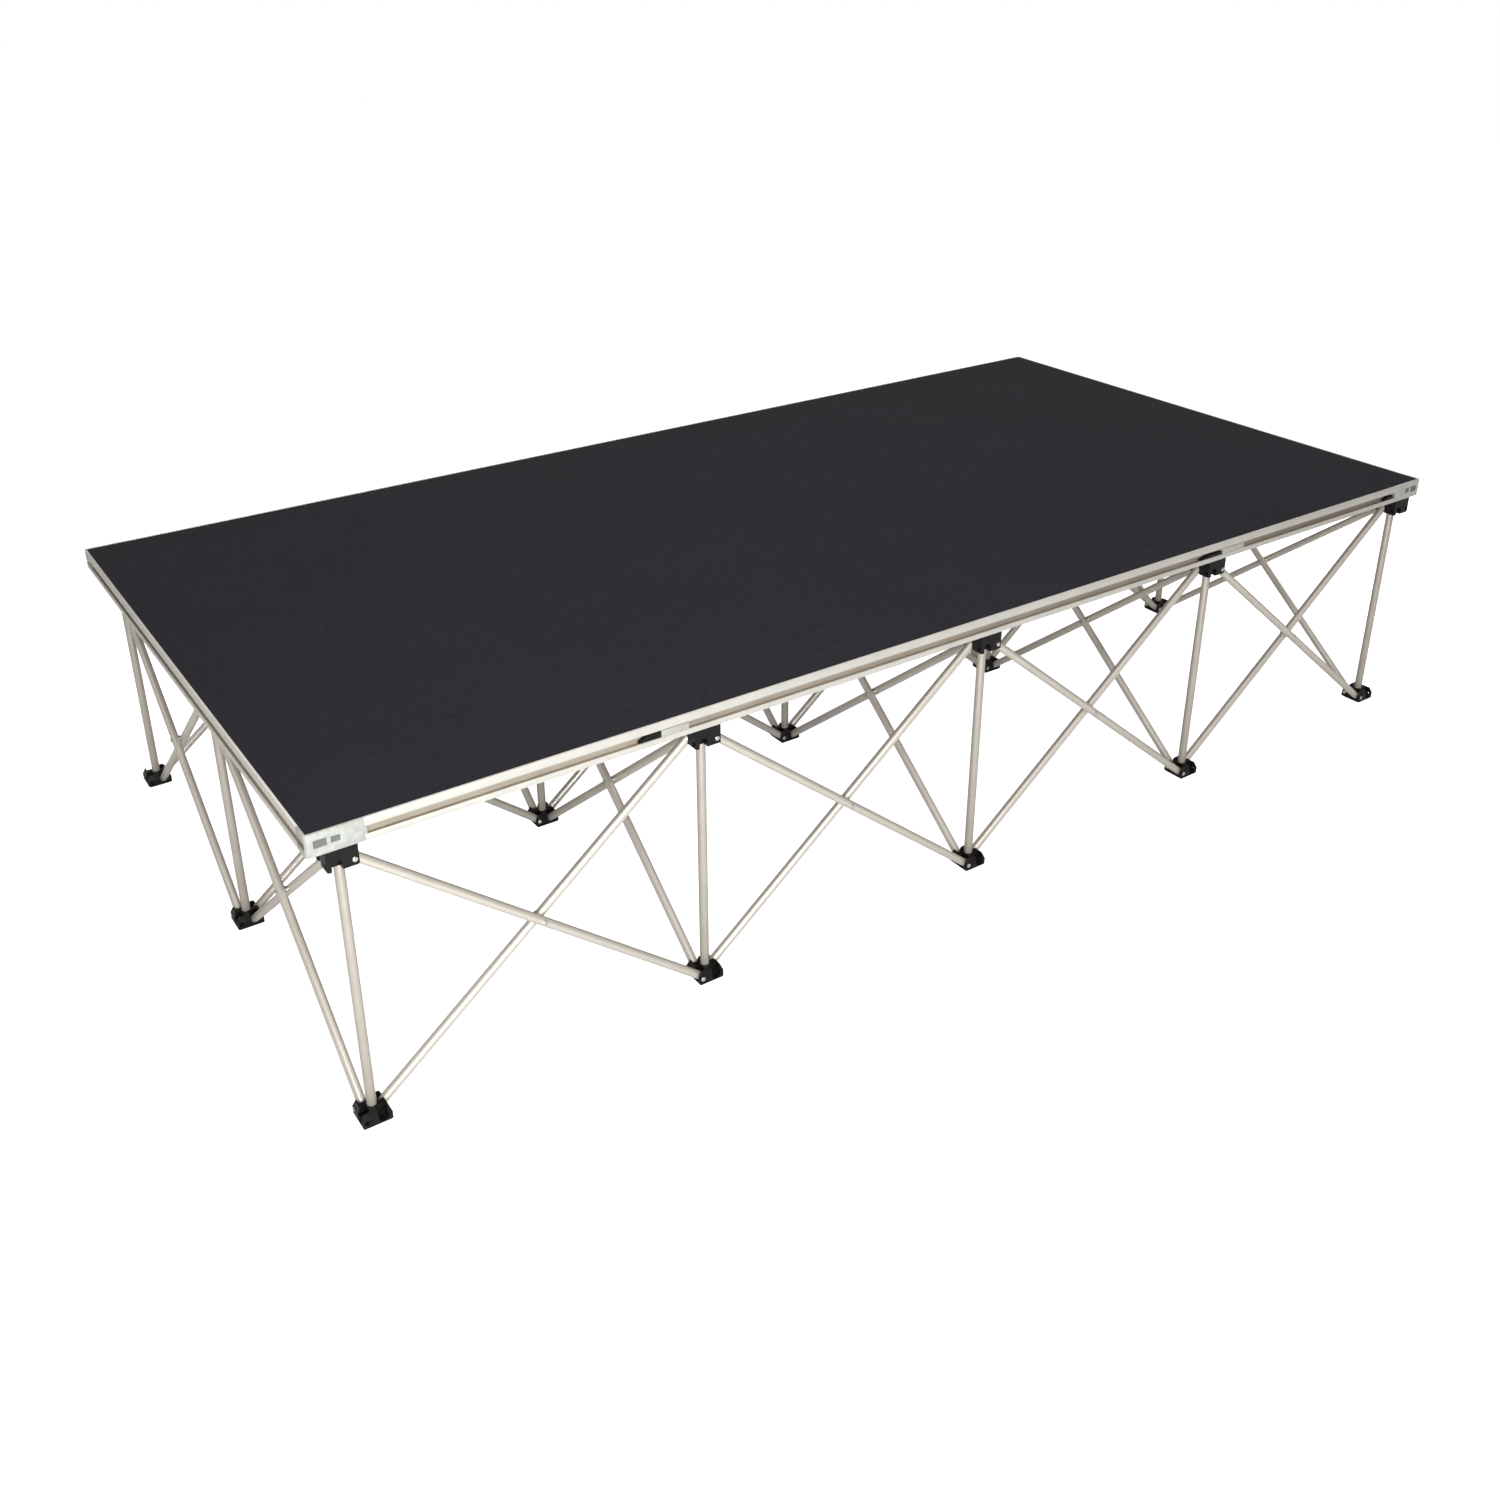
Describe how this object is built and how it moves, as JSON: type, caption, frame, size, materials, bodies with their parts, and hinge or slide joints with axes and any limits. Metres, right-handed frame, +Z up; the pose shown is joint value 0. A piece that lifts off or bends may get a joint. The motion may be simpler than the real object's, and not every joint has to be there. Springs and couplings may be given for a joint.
{
  "type": "stage riser platform",
  "caption": "Modular stage platform: a black deck with aluminium T-groove edge rails on a folding scissor frame of round tube braces, black hubs and square feet.",
  "frame": {"origin": "on the floor under the middle of the deck, at the centre of the middle foot's underside", "axes": "+X along the deck's length, +Y from the front rail to the back rail, +Z up"},
  "size_m": [2, 1, 0.425],
  "materials": {
    "deck_surface": "matte",
    "deck_rail": "satin",
    "corner_casting": "satin",
    "brace_tube": "satin",
    "black_plastic": "satin",
    "steel_rivet": "satin",
    "foot_pad": "matte"
  },
  "bodies": {
    "foot_c1_r1": {"foot_c1_r1": "black_plastic"},
    "top_hub_c1_r1": {"top_hub_c1_r1": "black_plastic"},
    "foot_c1_r2": {"foot_c1_r2": "black_plastic"},
    "top_hub_c1_r2": {"top_hub_c1_r2": "black_plastic"},
    "foot_c1_r3": {"foot_c1_r3": "black_plastic"},
    "top_hub_c1_r3": {"top_hub_c1_r3": "black_plastic"},
    "side_brace_up_c1_b1": {"side_brace_up_c1_b1": "brace_tube"},
    "side_brace_down_c1_b1": {"side_brace_down_c1_b1": "brace_tube"},
    "side_brace_up_c1_b2": {"side_brace_up_c1_b2": "brace_tube"},
    "side_brace_down_c1_b2": {"side_brace_down_c1_b2": "brace_tube"},
    "foot_c3_r1": {"foot_c3_r1": "black_plastic"},
    "top_hub_c3_r1": {"top_hub_c3_r1": "black_plastic"},
    "foot_c3_r2": {"foot_c3_r2": "black_plastic"},
    "top_hub_c3_r2": {"top_hub_c3_r2": "black_plastic"},
    "foot_c3_r3": {"foot_c3_r3": "black_plastic"},
    "top_hub_c3_r3": {"top_hub_c3_r3": "black_plastic"},
    "side_brace_up_c3_b1": {"side_brace_up_c3_b1": "brace_tube"},
    "side_brace_down_c3_b1": {"side_brace_down_c3_b1": "brace_tube"},
    "side_brace_up_c3_b2": {"side_brace_up_c3_b2": "brace_tube"},
    "side_brace_down_c3_b2": {"side_brace_down_c3_b2": "brace_tube"},
    "foot_c5_r1": {"foot_c5_r1": "black_plastic"},
    "top_hub_c5_r1": {"top_hub_c5_r1": "black_plastic"},
    "foot_c5_r2": {"foot_c5_r2": "black_plastic"},
    "top_hub_c5_r2": {"top_hub_c5_r2": "black_plastic"},
    "foot_c5_r3": {"foot_c5_r3": "black_plastic"},
    "top_hub_c5_r3": {"top_hub_c5_r3": "black_plastic"},
    "side_brace_up_c5_b1": {"side_brace_up_c5_b1": "brace_tube"},
    "side_brace_down_c5_b1": {"side_brace_down_c5_b1": "brace_tube"},
    "side_brace_up_c5_b2": {"side_brace_up_c5_b2": "brace_tube"},
    "side_brace_down_c5_b2": {"side_brace_down_c5_b2": "brace_tube"},
    "long_brace_up_b1_r1": {"long_brace_up_b1_r1": "brace_tube"},
    "long_brace_down_b1_r1": {"long_brace_down_b1_r1": "brace_tube"},
    "long_brace_up_b2_r1": {"long_brace_up_b2_r1": "brace_tube"},
    "long_brace_down_b2_r1": {"long_brace_down_b2_r1": "brace_tube"},
    "long_brace_up_b3_r1": {"long_brace_up_b3_r1": "brace_tube"},
    "long_brace_down_b3_r1": {"long_brace_down_b3_r1": "brace_tube"},
    "long_brace_up_b4_r1": {"long_brace_up_b4_r1": "brace_tube"},
    "long_brace_down_b4_r1": {"long_brace_down_b4_r1": "brace_tube"},
    "long_brace_up_b1_r2": {"long_brace_up_b1_r2": "brace_tube"},
    "long_brace_down_b1_r2": {"long_brace_down_b1_r2": "brace_tube"},
    "long_brace_up_b2_r2": {"long_brace_up_b2_r2": "brace_tube"},
    "long_brace_down_b2_r2": {"long_brace_down_b2_r2": "brace_tube"},
    "long_brace_up_b3_r2": {"long_brace_up_b3_r2": "brace_tube"},
    "long_brace_down_b3_r2": {"long_brace_down_b3_r2": "brace_tube"},
    "long_brace_up_b4_r2": {"long_brace_up_b4_r2": "brace_tube"},
    "long_brace_down_b4_r2": {"long_brace_down_b4_r2": "brace_tube"},
    "long_brace_up_b1_r3": {"long_brace_up_b1_r3": "brace_tube"},
    "long_brace_down_b1_r3": {"long_brace_down_b1_r3": "brace_tube"},
    "long_brace_up_b2_r3": {"long_brace_up_b2_r3": "brace_tube"},
    "long_brace_down_b2_r3": {"long_brace_down_b2_r3": "brace_tube"},
    "long_brace_up_b3_r3": {"long_brace_up_b3_r3": "brace_tube"},
    "long_brace_down_b3_r3": {"long_brace_down_b3_r3": "brace_tube"},
    "long_brace_up_b4_r3": {"long_brace_up_b4_r3": "brace_tube"},
    "long_brace_down_b4_r3": {"long_brace_down_b4_r3": "brace_tube"},
    "deck": {"deck_board": "deck_surface", "front_rail": "deck_rail", "back_rail": "deck_rail", "left_rail": "deck_rail", "right_rail": "deck_rail", "centre_beam": "deck_rail"}
  },
  "joints": [
    {"name": "frame_fold", "type": "hinge", "parent": "foot_c3_r2", "child": "side_brace_up_c3_b2", "pos_m": [-0.007, 0.0138, 0.01], "axis": [1, 0, 0], "range_deg": [0, 49.7]},
    {"name": "top_hub_c3_r3_pivot", "type": "hinge", "parent": "side_brace_up_c3_b2", "child": "top_hub_c3_r3", "pos_m": [-0.007, 0.4662, 0.3757], "axis": [1, 0, 0], "range_deg": [-49.7, 0]},
    {"name": "side_brace_down_c3_b2_crossing", "type": "hinge", "parent": "side_brace_up_c3_b2", "child": "side_brace_down_c3_b2", "pos_m": [0, 0.24, 0.19285], "axis": [1, 0, 0], "range_deg": [-99.4, 0]},
    {"name": "foot_c3_r3_pivot", "type": "hinge", "parent": "side_brace_down_c3_b2", "child": "foot_c3_r3", "pos_m": [0.007, 0.4662, 0.01], "axis": [1, 0, 0], "range_deg": [0, 49.7]},
    {"name": "top_hub_c3_r2_pivot", "type": "hinge", "parent": "side_brace_down_c3_b2", "child": "top_hub_c3_r2", "pos_m": [0.007, 0.0138, 0.3757], "axis": [1, 0, 0], "range_deg": [0, 49.7]},
    {"name": "side_brace_down_c3_b1_pivot", "type": "hinge", "parent": "foot_c3_r2", "child": "side_brace_down_c3_b1", "pos_m": [0.007, -0.0138, 0.01], "axis": [1, 0, 0], "range_deg": [-49.7, 0]},
    {"name": "top_hub_c3_r1_pivot", "type": "hinge", "parent": "side_brace_down_c3_b1", "child": "top_hub_c3_r1", "pos_m": [0.007, -0.4662, 0.3757], "axis": [1, 0, 0], "range_deg": [0, 49.7]},
    {"name": "side_brace_up_c3_b1_crossing", "type": "hinge", "parent": "side_brace_down_c3_b1", "child": "side_brace_up_c3_b1", "pos_m": [0, -0.24, 0.19285], "axis": [1, 0, 0], "range_deg": [0, 99.4]},
    {"name": "foot_c3_r1_pivot", "type": "hinge", "parent": "side_brace_up_c3_b1", "child": "foot_c3_r1", "pos_m": [-0.007, -0.4662, 0.01], "axis": [1, 0, 0], "range_deg": [-49.7, 0]},
    {"name": "foot_c1_r1_slide", "type": "slide", "parent": "foot_c3_r1", "child": "foot_c1_r1", "axis": [1, 0, 0], "range_m": [0, 0.8774]},
    {"name": "foot_c1_r2_slide", "type": "slide", "parent": "foot_c3_r2", "child": "foot_c1_r2", "axis": [1, 0, 0], "range_m": [0, 0.8774]},
    {"name": "foot_c1_r3_slide", "type": "slide", "parent": "foot_c3_r3", "child": "foot_c1_r3", "axis": [1, 0, 0], "range_m": [0, 0.8774]},
    {"name": "top_hub_c1_r1_slide", "type": "slide", "parent": "top_hub_c3_r1", "child": "top_hub_c1_r1", "axis": [1, 0, 0], "range_m": [0, 0.8774]},
    {"name": "top_hub_c1_r2_slide", "type": "slide", "parent": "top_hub_c3_r2", "child": "top_hub_c1_r2", "axis": [1, 0, 0], "range_m": [0, 0.8774]},
    {"name": "top_hub_c1_r3_slide", "type": "slide", "parent": "top_hub_c3_r3", "child": "top_hub_c1_r3", "axis": [1, 0, 0], "range_m": [0, 0.8774]},
    {"name": "side_brace_up_c1_b1_slide", "type": "slide", "parent": "side_brace_up_c3_b1", "child": "side_brace_up_c1_b1", "axis": [1, 0, 0], "range_m": [0, 0.8774]},
    {"name": "side_brace_up_c1_b2_slide", "type": "slide", "parent": "side_brace_up_c3_b2", "child": "side_brace_up_c1_b2", "axis": [1, 0, 0], "range_m": [0, 0.8774]},
    {"name": "side_brace_down_c1_b1_slide", "type": "slide", "parent": "side_brace_down_c3_b1", "child": "side_brace_down_c1_b1", "axis": [1, 0, 0], "range_m": [0, 0.8774]},
    {"name": "side_brace_down_c1_b2_slide", "type": "slide", "parent": "side_brace_down_c3_b2", "child": "side_brace_down_c1_b2", "axis": [1, 0, 0], "range_m": [0, 0.8774]},
    {"name": "foot_c5_r1_slide", "type": "slide", "parent": "foot_c3_r1", "child": "foot_c5_r1", "axis": [-1, 0, 0], "range_m": [0, 0.8774]},
    {"name": "foot_c5_r2_slide", "type": "slide", "parent": "foot_c3_r2", "child": "foot_c5_r2", "axis": [-1, 0, 0], "range_m": [0, 0.8774]},
    {"name": "foot_c5_r3_slide", "type": "slide", "parent": "foot_c3_r3", "child": "foot_c5_r3", "axis": [-1, 0, 0], "range_m": [0, 0.8774]},
    {"name": "top_hub_c5_r1_slide", "type": "slide", "parent": "top_hub_c3_r1", "child": "top_hub_c5_r1", "axis": [-1, 0, 0], "range_m": [0, 0.8774]},
    {"name": "top_hub_c5_r2_slide", "type": "slide", "parent": "top_hub_c3_r2", "child": "top_hub_c5_r2", "axis": [-1, 0, 0], "range_m": [0, 0.8774]},
    {"name": "top_hub_c5_r3_slide", "type": "slide", "parent": "top_hub_c3_r3", "child": "top_hub_c5_r3", "axis": [-1, 0, 0], "range_m": [0, 0.8774]},
    {"name": "side_brace_up_c5_b1_slide", "type": "slide", "parent": "side_brace_up_c3_b1", "child": "side_brace_up_c5_b1", "axis": [-1, 0, 0], "range_m": [0, 0.8774]},
    {"name": "side_brace_up_c5_b2_slide", "type": "slide", "parent": "side_brace_up_c3_b2", "child": "side_brace_up_c5_b2", "axis": [-1, 0, 0], "range_m": [0, 0.8774]},
    {"name": "side_brace_down_c5_b1_slide", "type": "slide", "parent": "side_brace_down_c3_b1", "child": "side_brace_down_c5_b1", "axis": [-1, 0, 0], "range_m": [0, 0.8774]},
    {"name": "side_brace_down_c5_b2_slide", "type": "slide", "parent": "side_brace_down_c3_b2", "child": "side_brace_down_c5_b2", "axis": [-1, 0, 0], "range_m": [0, 0.8774]},
    {"name": "long_brace_up_b1_r1_pivot", "type": "hinge", "parent": "foot_c1_r1", "child": "long_brace_up_b1_r1", "pos_m": [-0.9462, -0.473, 0.01], "axis": [0, 1, 0], "range_deg": [-49.7, 0]},
    {"name": "long_brace_down_b1_r1_pivot", "type": "hinge", "parent": "top_hub_c1_r1", "child": "long_brace_down_b1_r1", "pos_m": [-0.9462, -0.487, 0.3757], "axis": [0, 1, 0], "range_deg": [0, 49.7]},
    {"name": "long_brace_up_b2_r1_pivot", "type": "hinge", "parent": "top_hub_c3_r1", "child": "long_brace_up_b2_r1", "pos_m": [-0.0138, -0.473, 0.3757], "axis": [0, 1, 0], "range_deg": [-49.7, 0]},
    {"name": "long_brace_down_b2_r1_pivot", "type": "hinge", "parent": "foot_c3_r1", "child": "long_brace_down_b2_r1", "pos_m": [-0.0138, -0.487, 0.01], "axis": [0, 1, 0], "range_deg": [0, 49.7]},
    {"name": "long_brace_up_b3_r1_pivot", "type": "hinge", "parent": "foot_c3_r1", "child": "long_brace_up_b3_r1", "pos_m": [0.0138, -0.473, 0.01], "axis": [0, 1, 0], "range_deg": [-49.7, 0]},
    {"name": "long_brace_down_b3_r1_pivot", "type": "hinge", "parent": "top_hub_c3_r1", "child": "long_brace_down_b3_r1", "pos_m": [0.0138, -0.487, 0.3757], "axis": [0, 1, 0], "range_deg": [0, 49.7]},
    {"name": "long_brace_up_b4_r1_pivot", "type": "hinge", "parent": "top_hub_c5_r1", "child": "long_brace_up_b4_r1", "pos_m": [0.9462, -0.473, 0.3757], "axis": [0, 1, 0], "range_deg": [-49.7, 0]},
    {"name": "long_brace_down_b4_r1_pivot", "type": "hinge", "parent": "foot_c5_r1", "child": "long_brace_down_b4_r1", "pos_m": [0.9462, -0.487, 0.01], "axis": [0, 1, 0], "range_deg": [0, 49.7]},
    {"name": "long_brace_up_b1_r2_pivot", "type": "hinge", "parent": "foot_c1_r2", "child": "long_brace_up_b1_r2", "pos_m": [-0.9462, 0.007, 0.01], "axis": [0, 1, 0], "range_deg": [-49.7, 0]},
    {"name": "long_brace_down_b1_r2_pivot", "type": "hinge", "parent": "top_hub_c1_r2", "child": "long_brace_down_b1_r2", "pos_m": [-0.9462, -0.007, 0.3757], "axis": [0, 1, 0], "range_deg": [0, 49.7]},
    {"name": "long_brace_up_b2_r2_pivot", "type": "hinge", "parent": "top_hub_c3_r2", "child": "long_brace_up_b2_r2", "pos_m": [-0.0138, 0.007, 0.3757], "axis": [0, 1, 0], "range_deg": [-49.7, 0]},
    {"name": "long_brace_down_b2_r2_pivot", "type": "hinge", "parent": "foot_c3_r2", "child": "long_brace_down_b2_r2", "pos_m": [-0.0138, -0.007, 0.01], "axis": [0, 1, 0], "range_deg": [0, 49.7]},
    {"name": "long_brace_up_b3_r2_pivot", "type": "hinge", "parent": "foot_c3_r2", "child": "long_brace_up_b3_r2", "pos_m": [0.0138, 0.007, 0.01], "axis": [0, 1, 0], "range_deg": [-49.7, 0]},
    {"name": "long_brace_down_b3_r2_pivot", "type": "hinge", "parent": "top_hub_c3_r2", "child": "long_brace_down_b3_r2", "pos_m": [0.0138, -0.007, 0.3757], "axis": [0, 1, 0], "range_deg": [0, 49.7]},
    {"name": "long_brace_up_b4_r2_pivot", "type": "hinge", "parent": "top_hub_c5_r2", "child": "long_brace_up_b4_r2", "pos_m": [0.9462, 0.007, 0.3757], "axis": [0, 1, 0], "range_deg": [-49.7, 0]},
    {"name": "long_brace_down_b4_r2_pivot", "type": "hinge", "parent": "foot_c5_r2", "child": "long_brace_down_b4_r2", "pos_m": [0.9462, -0.007, 0.01], "axis": [0, 1, 0], "range_deg": [0, 49.7]},
    {"name": "long_brace_up_b1_r3_pivot", "type": "hinge", "parent": "foot_c1_r3", "child": "long_brace_up_b1_r3", "pos_m": [-0.9462, 0.487, 0.01], "axis": [0, 1, 0], "range_deg": [-49.7, 0]},
    {"name": "long_brace_down_b1_r3_pivot", "type": "hinge", "parent": "top_hub_c1_r3", "child": "long_brace_down_b1_r3", "pos_m": [-0.9462, 0.473, 0.3757], "axis": [0, 1, 0], "range_deg": [0, 49.7]},
    {"name": "long_brace_up_b2_r3_pivot", "type": "hinge", "parent": "top_hub_c3_r3", "child": "long_brace_up_b2_r3", "pos_m": [-0.0138, 0.487, 0.3757], "axis": [0, 1, 0], "range_deg": [-49.7, 0]},
    {"name": "long_brace_down_b2_r3_pivot", "type": "hinge", "parent": "foot_c3_r3", "child": "long_brace_down_b2_r3", "pos_m": [-0.0138, 0.473, 0.01], "axis": [0, 1, 0], "range_deg": [0, 49.7]},
    {"name": "long_brace_up_b3_r3_pivot", "type": "hinge", "parent": "foot_c3_r3", "child": "long_brace_up_b3_r3", "pos_m": [0.0138, 0.487, 0.01], "axis": [0, 1, 0], "range_deg": [-49.7, 0]},
    {"name": "long_brace_down_b3_r3_pivot", "type": "hinge", "parent": "top_hub_c3_r3", "child": "long_brace_down_b3_r3", "pos_m": [0.0138, 0.473, 0.3757], "axis": [0, 1, 0], "range_deg": [0, 49.7]},
    {"name": "long_brace_up_b4_r3_pivot", "type": "hinge", "parent": "top_hub_c5_r3", "child": "long_brace_up_b4_r3", "pos_m": [0.9462, 0.487, 0.3757], "axis": [0, 1, 0], "range_deg": [-49.7, 0]},
    {"name": "long_brace_down_b4_r3_pivot", "type": "hinge", "parent": "foot_c5_r3", "child": "long_brace_down_b4_r3", "pos_m": [0.9462, 0.473, 0.01], "axis": [0, 1, 0], "range_deg": [0, 49.7]},
    {"name": "deck_lift", "type": "slide", "parent": "top_hub_c3_r2", "child": "deck", "axis": [0, 0, 1], "range_m": [0, 0.3]}
  ],
  "couplings": [
    {"joint": "top_hub_c3_r3_pivot", "follows": "frame_fold", "ratio": -1},
    {"joint": "side_brace_down_c3_b2_crossing", "follows": "frame_fold", "ratio": -2},
    {"joint": "foot_c3_r3_pivot", "follows": "frame_fold", "ratio": 1},
    {"joint": "top_hub_c3_r2_pivot", "follows": "frame_fold", "ratio": 1},
    {"joint": "side_brace_down_c3_b1_pivot", "follows": "frame_fold", "ratio": -1},
    {"joint": "top_hub_c3_r1_pivot", "follows": "frame_fold", "ratio": 1},
    {"joint": "side_brace_up_c3_b1_crossing", "follows": "frame_fold", "ratio": 2},
    {"joint": "foot_c3_r1_pivot", "follows": "frame_fold", "ratio": -1},
    {"joint": "foot_c1_r1_slide", "follows": "frame_fold", "m_per_rad": 1.0114},
    {"joint": "foot_c1_r2_slide", "follows": "frame_fold", "m_per_rad": 1.0114},
    {"joint": "foot_c1_r3_slide", "follows": "frame_fold", "m_per_rad": 1.0114},
    {"joint": "top_hub_c1_r1_slide", "follows": "frame_fold", "m_per_rad": 1.0114},
    {"joint": "top_hub_c1_r2_slide", "follows": "frame_fold", "m_per_rad": 1.0114},
    {"joint": "top_hub_c1_r3_slide", "follows": "frame_fold", "m_per_rad": 1.0114},
    {"joint": "side_brace_up_c1_b1_slide", "follows": "frame_fold", "m_per_rad": 1.0114},
    {"joint": "side_brace_up_c1_b2_slide", "follows": "frame_fold", "m_per_rad": 1.0114},
    {"joint": "side_brace_down_c1_b1_slide", "follows": "frame_fold", "m_per_rad": 1.0114},
    {"joint": "side_brace_down_c1_b2_slide", "follows": "frame_fold", "m_per_rad": 1.0114},
    {"joint": "foot_c5_r1_slide", "follows": "frame_fold", "m_per_rad": 1.0114},
    {"joint": "foot_c5_r2_slide", "follows": "frame_fold", "m_per_rad": 1.0114},
    {"joint": "foot_c5_r3_slide", "follows": "frame_fold", "m_per_rad": 1.0114},
    {"joint": "top_hub_c5_r1_slide", "follows": "frame_fold", "m_per_rad": 1.0114},
    {"joint": "top_hub_c5_r2_slide", "follows": "frame_fold", "m_per_rad": 1.0114},
    {"joint": "top_hub_c5_r3_slide", "follows": "frame_fold", "m_per_rad": 1.0114},
    {"joint": "side_brace_up_c5_b1_slide", "follows": "frame_fold", "m_per_rad": 1.0114},
    {"joint": "side_brace_up_c5_b2_slide", "follows": "frame_fold", "m_per_rad": 1.0114},
    {"joint": "side_brace_down_c5_b1_slide", "follows": "frame_fold", "m_per_rad": 1.0114},
    {"joint": "side_brace_down_c5_b2_slide", "follows": "frame_fold", "m_per_rad": 1.0114},
    {"joint": "long_brace_up_b1_r1_pivot", "follows": "frame_fold", "ratio": -1},
    {"joint": "long_brace_down_b1_r1_pivot", "follows": "frame_fold", "ratio": 1},
    {"joint": "long_brace_up_b2_r1_pivot", "follows": "frame_fold", "ratio": -1},
    {"joint": "long_brace_down_b2_r1_pivot", "follows": "frame_fold", "ratio": 1},
    {"joint": "long_brace_up_b3_r1_pivot", "follows": "frame_fold", "ratio": -1},
    {"joint": "long_brace_down_b3_r1_pivot", "follows": "frame_fold", "ratio": 1},
    {"joint": "long_brace_up_b4_r1_pivot", "follows": "frame_fold", "ratio": -1},
    {"joint": "long_brace_down_b4_r1_pivot", "follows": "frame_fold", "ratio": 1},
    {"joint": "long_brace_up_b1_r2_pivot", "follows": "frame_fold", "ratio": -1},
    {"joint": "long_brace_down_b1_r2_pivot", "follows": "frame_fold", "ratio": 1},
    {"joint": "long_brace_up_b2_r2_pivot", "follows": "frame_fold", "ratio": -1},
    {"joint": "long_brace_down_b2_r2_pivot", "follows": "frame_fold", "ratio": 1},
    {"joint": "long_brace_up_b3_r2_pivot", "follows": "frame_fold", "ratio": -1},
    {"joint": "long_brace_down_b3_r2_pivot", "follows": "frame_fold", "ratio": 1},
    {"joint": "long_brace_up_b4_r2_pivot", "follows": "frame_fold", "ratio": -1},
    {"joint": "long_brace_down_b4_r2_pivot", "follows": "frame_fold", "ratio": 1},
    {"joint": "long_brace_up_b1_r3_pivot", "follows": "frame_fold", "ratio": -1},
    {"joint": "long_brace_down_b1_r3_pivot", "follows": "frame_fold", "ratio": 1},
    {"joint": "long_brace_up_b2_r3_pivot", "follows": "frame_fold", "ratio": -1},
    {"joint": "long_brace_down_b2_r3_pivot", "follows": "frame_fold", "ratio": 1},
    {"joint": "long_brace_up_b3_r3_pivot", "follows": "frame_fold", "ratio": -1},
    {"joint": "long_brace_down_b3_r3_pivot", "follows": "frame_fold", "ratio": 1},
    {"joint": "long_brace_up_b4_r3_pivot", "follows": "frame_fold", "ratio": -1},
    {"joint": "long_brace_down_b4_r3_pivot", "follows": "frame_fold", "ratio": 1}
  ]
}
